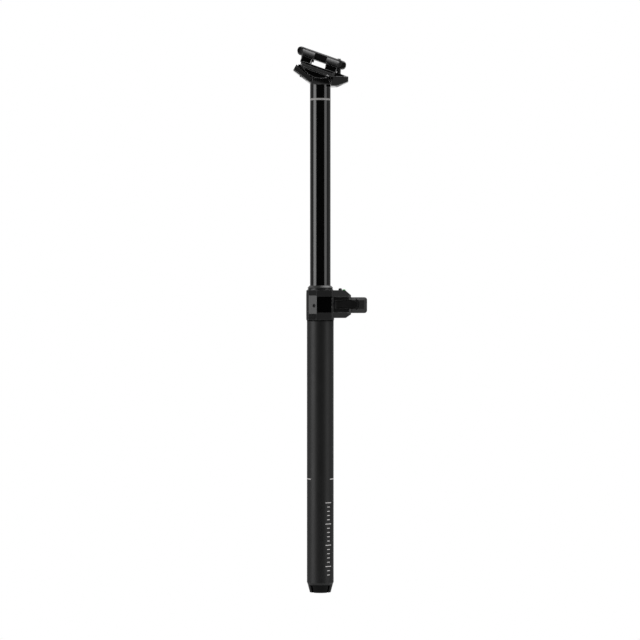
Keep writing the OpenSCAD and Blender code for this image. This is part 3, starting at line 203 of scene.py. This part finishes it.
class Finish:
    """One procedural finish: colour patches, grain, soft edges and a colour along them: light
    wear by default, a painted highlight where a finish gives a pale edge colour of its own,
    painted shade where it gives a dark one.

    rough is its least and greatest roughness. grain, depth and soft_edge are in millimetres.
    """

    def __init__(self, colour, rough, grain, depth, edge=None, metal=0.0, patch=0.2,
                 soft_edge=0.3, specular=0.5):
        self.colour = colour
        self.rough = rough
        self.grain = grain
        self.depth = depth
        self.edge = edge or worn_colour(colour)
        self.metal = metal
        self.patch = patch
        self.soft_edge = soft_edge
        self.specular = specular

    def build(self, name, marks=None):
        material, shader, bsdf = new_material(name)
        bsdf.inputs["Metallic"].default_value = self.metal
        bsdf.inputs["Specular IOR Level"].default_value = self.specular

        patches = shader.noise(PATCH_SIZE)
        darker = scaled(self.colour, 1 - self.patch)
        lighter = scaled(self.colour, 1 + self.patch)
        colour = shader.mix(shader.ramp(patches, *PATCH_BORDER), darker, lighter)

        rounded = shader.add("Bevel", samples=BEVEL_SAMPLES)
        rounded.inputs["Radius"].default_value = self.soft_edge * MM
        facing = shader.add("VectorMath", operation="DOT_PRODUCT")
        shader.put(facing.inputs[0], rounded.outputs[0])
        shader.put(facing.inputs[1], shader.add("NewGeometry").outputs["Normal"])
        # Edge colour mask: light wear on most finishes; painted highlight on finishes with a pale
        # edge colour of their own, painted shade on those with a dark one
        edge_breakup = shader.ramp(shader.noise(EDGE_BREAKUP_SIZE), *EDGE_BREAKUP_BORDER, EDGE_BREAKUP_LEAST, 1.0)
        edge_wear_and_painted_light = shader.product(shader.ramp(facing.outputs["Value"], *EDGE_FACING), edge_breakup)
        colour = shader.mix(edge_wear_and_painted_light, colour, self.edge)

        fine = shader.noise(self.grain * MM)
        uneven = shader.math("ADD", fine, shader.product(patches, ROUGH_FROM_PATCHES))
        rough = shader.ramp(uneven, *ROUGH_SPAN, *self.rough)
        if marks:
            mask, paint = marks(shader)
            colour = shader.mix(mask, colour, paint)
            rough = shader.ramp(mask, 0.0, 1.0, rough, PRINT_ROUGH)

        bump = shader.add("Bump")
        bump.inputs["Strength"].default_value = BUMP_STRENGTH
        bump.inputs["Distance"].default_value = self.depth * MM
        shader.put(bump.inputs["Height"], fine)
        shader.put(bump.inputs["Normal"], rounded.outputs[0])

        shader.put(bsdf.inputs["Base Color"], colour)
        shader.put(bsdf.inputs["Roughness"], rough)
        shader.put(bsdf.inputs["Normal"], bump.outputs[0])
        return material


FINISHES = {
    "satin_black": Finish(grey(0.0015), (0.44, 0.54), grain=0.25, depth=0.012, specular=0.42),
    "gloss_black": Finish(grey(0.002), (0.06, 0.10), grain=0.8, depth=0.001, patch=0.1),
    # forged_black: its pale edge colour is a painted highlight along its chamfers
    "forged_black": Finish(grey(0.0015), (0.12, 0.20), grain=0.5, depth=0.008, edge=grey(0.18),
                           soft_edge=0.6),
    # collar_black: its pale edge colour is a painted highlight along the collar's bevels and
    # edges
    "collar_black": Finish(grey(0.0006), (0.12, 0.20), grain=0.5, depth=0.008, edge=grey(0.08),
                           soft_edge=0.6, specular=0.28),
    "cap_black": Finish(grey(0.002), (0.36, 0.46), grain=0.3, depth=0.012, specular=0.10),
    # Near-black matte finish of the painted shadow ring under the collar
    "painted_shadow_black": Finish(grey(0.001), (0.50, 0.60), grain=0.4, depth=0.015, edge=grey(0.001),
                         specular=0.04),
    "clamp_grey": Finish(grey(0.004), (0.34, 0.44), grain=0.25, depth=0.012, soft_edge=0.4,
                         specular=0.33),
    # housing_black: its pale edge colour is a painted highlight along its edges
    "housing_black": Finish(grey(0.002), (0.28, 0.38), grain=0.35, depth=0.012, edge=grey(0.07),
                            soft_edge=0.6),
    # latch_black: its near-black edge colour over a wide soft edge is painted shade, the dark gap
    # round the latch's edges
    "latch_black": Finish(grey(0.0075), (0.34, 0.44), grain=0.30, depth=0.015, edge=grey(0.0003),
                          soft_edge=1.1, specular=0.06),
    "battery_black": Finish(grey(0.008), (0.40, 0.52), grain=0.30, depth=0.02),
    "button_black": Finish(grey(0.020), (0.45, 0.60), grain=0.25, depth=0.02),
    "light_green": Finish((0.06, 0.55, 0.10, 1), (0.08, 0.16), grain=0.8, depth=0.002),
    "seal_black": Finish(grey(0.006), (0.28, 0.40), grain=0.5, depth=0.008),
    "steel": Finish(grey(0.50), (0.22, 0.36), grain=0.12, depth=0.004, metal=1.0),
    "black_steel": Finish(grey(0.050), (0.28, 0.42), grain=0.2, depth=0.006, metal=0.6),
    "bare_aluminium": Finish(grey(0.60), (0.26, 0.40), grain=0.15, depth=0.006, metal=1.0),
    "bushing_bronze": Finish((0.42, 0.36, 0.25, 1), (0.42, 0.58), grain=0.2, depth=0.02,
                             metal=0.8),
    "brass": Finish((0.70, 0.52, 0.22, 1), (0.24, 0.38), grain=0.15, depth=0.006, metal=1.0),
    "board_green": Finish((0.04, 0.17, 0.07, 1), (0.30, 0.45), grain=0.6, depth=0.02),
}

# Marks on the tubes
PRINT = grey(0.62, 0.02)
PRINT_SOFT = 0.12 * MM
PRINT_SOFT_ANGLE = math.radians(0.5)
RING_PRINT = grey(0.30, 0.02)
RING_Z = 259.9 * MM
RING_HALF = 1.1 * MM
LINE_Z = -187.3 * MM
LINE_HALF = 0.5 * MM
LINE_ARC = math.radians(44)
SCALE_ANGLE = math.radians(-52)
SCALE_TOP = -215 * MM
SCALE_BOTTOM = -300 * MM
SCALE_STEP = 5 * MM
SCALE_LONG_EVERY = 5
TICK_HALF = 0.42 * MM
SHORT_TICK = math.radians(7)
LONG_TICK = math.radians(15)


def upper_tube_marks(shader):
    """One plain ring under the head."""
    z = shader.split(shader.place())[2]
    ring = shader.within(shader.math("SUBTRACT", z, RING_Z), RING_HALF, PRINT_SOFT)
    return ring, RING_PRINT


def lower_tube_marks(shader):
    """A line at the least depth, in front and behind, and a plain depth scale on the right."""
    x, y, z = shader.split(shader.place())

    from_side = shader.math("ARCTAN2", shader.math("ABSOLUTE", y), shader.math("ABSOLUTE", x))
    line = shader.product(
        shader.within(shader.math("SUBTRACT", z, LINE_Z), LINE_HALF, PRINT_SOFT),
        shader.within(from_side, LINE_ARC, PRINT_SOFT_ANGLE))

    offset = shader.math("SUBTRACT", z, SCALE_TOP)
    angle = shader.math("SUBTRACT", shader.math("ARCTAN2", y, x), SCALE_ANGLE)

    def ticks(step, arc):
        """Ticks at every step along the tube, each over an arc to both sides of the scale."""
        steps = shader.math("ROUND", shader.math("DIVIDE", offset, step))
        from_tick = shader.math("SUBTRACT", offset, shader.math("MULTIPLY", steps, step))
        return shader.product(
            shader.within(from_tick, TICK_HALF, PRINT_SOFT),
            shader.within(angle, arc, PRINT_SOFT_ANGLE))

    middle = (SCALE_TOP + SCALE_BOTTOM) / 2
    reach = (SCALE_TOP - SCALE_BOTTOM) / 2 + SCALE_STEP / 2
    on_scale = shader.within(shader.math("SUBTRACT", z, middle), reach, PRINT_SOFT)
    short = ticks(SCALE_STEP, SHORT_TICK)
    long = ticks(SCALE_STEP * SCALE_LONG_EVERY, LONG_TICK)
    scale = shader.product(shader.math("MAXIMUM", short, long), on_scale)
    return shader.math("MAXIMUM", line, scale), PRINT


MARKS = {"satin_black": lower_tube_marks, "gloss_black": upper_tube_marks}

materials = {slot: finish.build(slot, MARKS.get(slot)) for slot, finish in FINISHES.items()}

# Nodes whose finish isn't the one that their record's slot names
OTHER_FINISH = {
    "collar": "collar_black",
    "foot_cap": "cap_black",
    "latch_lever": "latch_black",
    "latch_pin": "latch_black",
    "bleed_screw": "cap_black",
}


def dress_nodes():
    """Gives each CAD node its finish."""
    for subpart in frame["record"]["subparts"]:
        node, slot = subpart["node"], subpart["material_slot"]
        mesh = frame["nodes"][node].data
        mesh.materials.clear()
        mesh.materials.append(materials[OTHER_FINISH.get(node, slot)])


def make_object(name, mesh):
    """Object in the scene from a bmesh, which is freed."""
    data = bpy.data.meshes.new(name)
    mesh.to_mesh(data)
    mesh.free()
    made = bpy.data.objects.new(name, data)
    bpy.context.scene.collection.objects.link(made)
    return made


def make_piece(name, mesh, finish):
    """Piece of the part from a closed bmesh, with one finish."""
    bmesh.ops.recalc_face_normals(mesh, faces=mesh.faces)
    piece = make_object(name, mesh)
    piece.data.materials.append(materials[finish])
    return piece


def join_loops(mesh, first, second):
    """Band of faces between two closed loops of as many corners."""
    for k in range(len(first)):
        j = (k + 1) % len(first)
        mesh.faces.new((first[k], first[j], second[j], second[k]))


def polar(radius, turn, height):
    return Vector((radius * math.cos(turn), radius * math.sin(turn), height))


def turns_of(sides):
    """Directions of the corners of a polygon."""
    return [math.tau * k / sides for k in range(sides)]


# Clamp bolts, as in the part's source
BOLT_R = 2.5 * MM
BOLT_HEAD_R = 4.2 * MM
BOLT_FLAT = 1.2 * MM
BOLT_SOCKET_R = 2.3 * MM
BOLT_SOCKET_TOP = 1.2 * MM
BOLT_PITCH = 0.8 * MM
BOLT_THREAD = 0.49 * MM
BOLT_TIP = 0.6 * MM
BOLT_THREADED = 26 * MM
BOLT_SIDES = 24
HEAD_STEPS = 12
ROWS_A_TURN = 10

# Thread groove, as a share of its depth: peak before it is cut off at 1, slope, rest at the tip
GROOVE_PEAK = 1.25
GROOVE_SLOPE = 3.2
GROOVE_AT_TIP = 0.4


def hexagon(radius, turn):
    """Radius of a hexagon with corners at that radius, in direction turn."""
    sixth = math.pi / 3
    return radius * math.cos(sixth / 2) / math.cos(turn % sixth - sixth / 2)


def socket_ring(turn):
    return hexagon(BOLT_SOCKET_R, turn)


def round_ring(radius):
    return lambda turn: radius


def thread_ring(height, fade):
    """Radius at one height of the thread, whose groove is as deep as fade says."""
    def radius(turn):
        phase = (height / BOLT_PITCH - turn / math.tau) % 1.0
        from_middle = abs(phase - 0.5)
        groove = max(0.0, min(1.0, GROOVE_PEAK - from_middle * GROOVE_SLOPE))
        return BOLT_R - BOLT_THREAD * groove * fade
    return radius


def bolt_rings(length):
    """Height, and radius by direction, of a bolt's rings from its socket's floor to its tip."""
    rings = [(BOLT_SOCKET_TOP, socket_ring), (-BOLT_FLAT, socket_ring)]

    start = math.asin(-BOLT_FLAT / BOLT_HEAD_R)
    end = math.acos(BOLT_R / BOLT_HEAD_R)
    for k in range(HEAD_STEPS + 1):
        lift = start + (end - start) * k / HEAD_STEPS
        rings.append((BOLT_HEAD_R * math.sin(lift), round_ring(BOLT_HEAD_R * math.cos(lift))))

    bottom, top = max(length - BOLT_THREADED, BOLT_HEAD_R), length - BOLT_TIP
    rows = round((top - bottom) / BOLT_PITCH * ROWS_A_TURN)
    for k in range(rows + 1):
        height = bottom + (top - bottom) * k / rows
        starting = (height - bottom) / BOLT_PITCH
        ending = (top - height) / (BOLT_PITCH / 2) + GROOVE_AT_TIP
        rings.append((height, thread_ring(height, min(1.0, starting, ending))))

    rings.append((length, round_ring(BOLT_R - BOLT_TIP)))
    return rings


def threaded_bolt(node, body):
    """Bolt with a round head, a hexagon socket and a cut thread in place of a CAD bolt."""
    low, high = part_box(node)
    axis = Vector(((low.x + high.x) / 2, (low.y + high.y) / 2, low.z + BOLT_FLAT))
    turns = turns_of(BOLT_SIDES)
    mesh = bmesh.new()
    loops = [
        [mesh.verts.new(axis + polar(radius(turn), turn, height)) for turn in turns]
        for height, radius in bolt_rings(high.z - axis.z)
    ]
    for below, above in zip(loops, loops[1:]):
        join_loops(mesh, below, above)
    mesh.faces.new(list(reversed(loops[0])))
    mesh.faces.new(loops[-1])
    piece = make_piece(node + "_threaded", mesh, "black_steel")
    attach(piece, body)
    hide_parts(node)


# Painted shadow under the collar: a thin dark ring where the collar's step casts shade; how far
# it stands out of the lower tube and reaches into it
SHADOW_RING_PROUD = 0.12 * MM
SHADOW_RING_SUNK = 0.25 * MM
SHADOW_RING_HEIGHT = 1.6 * MM
SHADOW_RING_UPRIGHT = 0.8
SHADOW_RING_SIDES = 96


def collar_shadow_ring():
    """Thin dark ring under the collar, a painted shadow where the collar's step casts shade."""
    tube_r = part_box("lower_tube")[1].x
    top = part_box("collar")[0].z
    profile = [
        (tube_r - SHADOW_RING_SUNK, top),
        (tube_r + SHADOW_RING_PROUD, top),
        (tube_r + SHADOW_RING_PROUD, top - SHADOW_RING_UPRIGHT * SHADOW_RING_HEIGHT),
        (tube_r - SHADOW_RING_SUNK, top - SHADOW_RING_HEIGHT),
    ]
    mesh = bmesh.new()
    loops = [
        [mesh.verts.new(polar(radius, turn, z)) for radius, z in profile]
        for turn in turns_of(SHADOW_RING_SIDES)
    ]
    for loop, after in zip(loops, loops[1:] + loops[:1]):
        join_loops(mesh, loop, after)
    piece = make_piece("collar_shadow_ring", mesh, "painted_shadow_black")
    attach(piece, "lower_post")


def make_aimed(name, data, at, towards):
    """Camera or light at a point, looking towards another."""
    made = bpy.data.objects.new(name, data)
    made.location = at
    made.rotation_euler = (towards - at).to_track_quat("-Z", "Y").to_euler()
    bpy.context.scene.collection.objects.link(made)
    return made


def make_camera():
    data = bpy.data.cameras.new("camera")
    data.lens = LENS_MM
    data.sensor_width = SENSOR_MM
    bpy.context.scene.camera = make_aimed("camera", data, CAMERA_AT, CAMERA_LOOKS_AT)


def area_light(name, at, towards, size, power):
    data = bpy.data.lights.new(name, "AREA")
    data.shape = "RECTANGLE"
    data.size, data.size_y = size
    data.energy = power
    make_aimed(name, data, at, towards)


def make_lights():
    """A softbox on each side of the camera, and a light overhead."""
    for name, (angle, width, power) in SOFTBOXES.items():
        turn = math.radians(angle)
        at = Vector((math.sin(turn) * SOFTBOX_DISTANCE, -math.cos(turn) * SOFTBOX_DISTANCE, 0))
        area_light(name, at, Vector((0, 0, 0)), (width, SOFTBOX_HEIGHT), power)
    below = TOP_LIGHT_AT - Vector((0, 0, 1))
    area_light("top_light", TOP_LIGHT_AT, below, TOP_LIGHT_SIZE, TOP_LIGHT_POWER)


def make_world():
    """White behind the object; reflections see a dim studio with that white behind the post."""
    world = bpy.data.worlds.new("studio")
    bpy.context.scene.world = world
    world.use_nodes = True
    shader = Shader(world.node_tree)
    background = world.node_tree.nodes["Background"]
    _, depth, z = shader.split(shader.add("TexCoord").outputs["Generated"])
    height = shader.math("ABSOLUTE", z)
    room = shader.ramp(depth, *FRONT_TO_SIDE, ROOM_FRONT, ROOM_SIDE)
    pale = shader.ramp(depth, *PALE_TO_BACKDROP, ROOM_PALE, ROOM_BACKDROP)
    room = shader.ramp(height, *LEVEL_TO_PALE, room, pale)
    room = shader.ramp(depth, *BACKDROP_RIM, room, ROOM_BACKDROP)
    path = shader.add("LightPath").outputs
    mirrored = shader.math("MAXIMUM", path["Is Glossy Ray"], path["Is Transmission Ray"])
    strength = shader.ramp(mirrored, 0.0, 1.0, ROOM_FILL, room)
    strength = shader.ramp(path["Is Camera Ray"], 0.0, 1.0, strength, 1.0)
    shader.put(background.inputs["Strength"], strength)
    background.inputs["Color"].default_value = (1, 1, 1, 1)


def make_floor():
    """Pale round floor that fades out at its rim."""
    mesh = bmesh.new()
    bmesh.ops.create_circle(mesh, cap_ends=True, segments=FLOOR_SIDES, radius=FLOOR_RADIUS)
    floor = make_object("floor", mesh)
    floor.location.z = FLOOR_Z
    material, shader, bsdf = new_material("floor")
    bsdf.inputs["Roughness"].default_value = FLOOR_ROUGH
    darker, lighter = map(grey, FLOOR_TONES)
    mottle = shader.noise(FLOOR_MOTTLE)
    shader.put(bsdf.inputs["Base Color"], shader.mix(mottle, darker, lighter))
    from_middle = shader.add("VectorMath", operation="LENGTH")
    shader.put(from_middle.inputs[0], shader.place())
    fade = shader.ramp(from_middle.outputs["Value"], FLOOR_RADIUS, FLOOR_FADE_FROM)
    shader.put(bsdf.inputs["Alpha"], fade)
    floor.data.materials.append(material)


dress_nodes()
threaded_bolt("rear_bolt", "rear_clamp_bolt")
threaded_bolt("front_bolt", "front_clamp_bolt")
# Painted shadow ring under the collar
collar_shadow_ring()
make_camera()
make_lights()
make_world()
make_floor()
bpy.context.scene.view_settings.view_transform = "Standard"
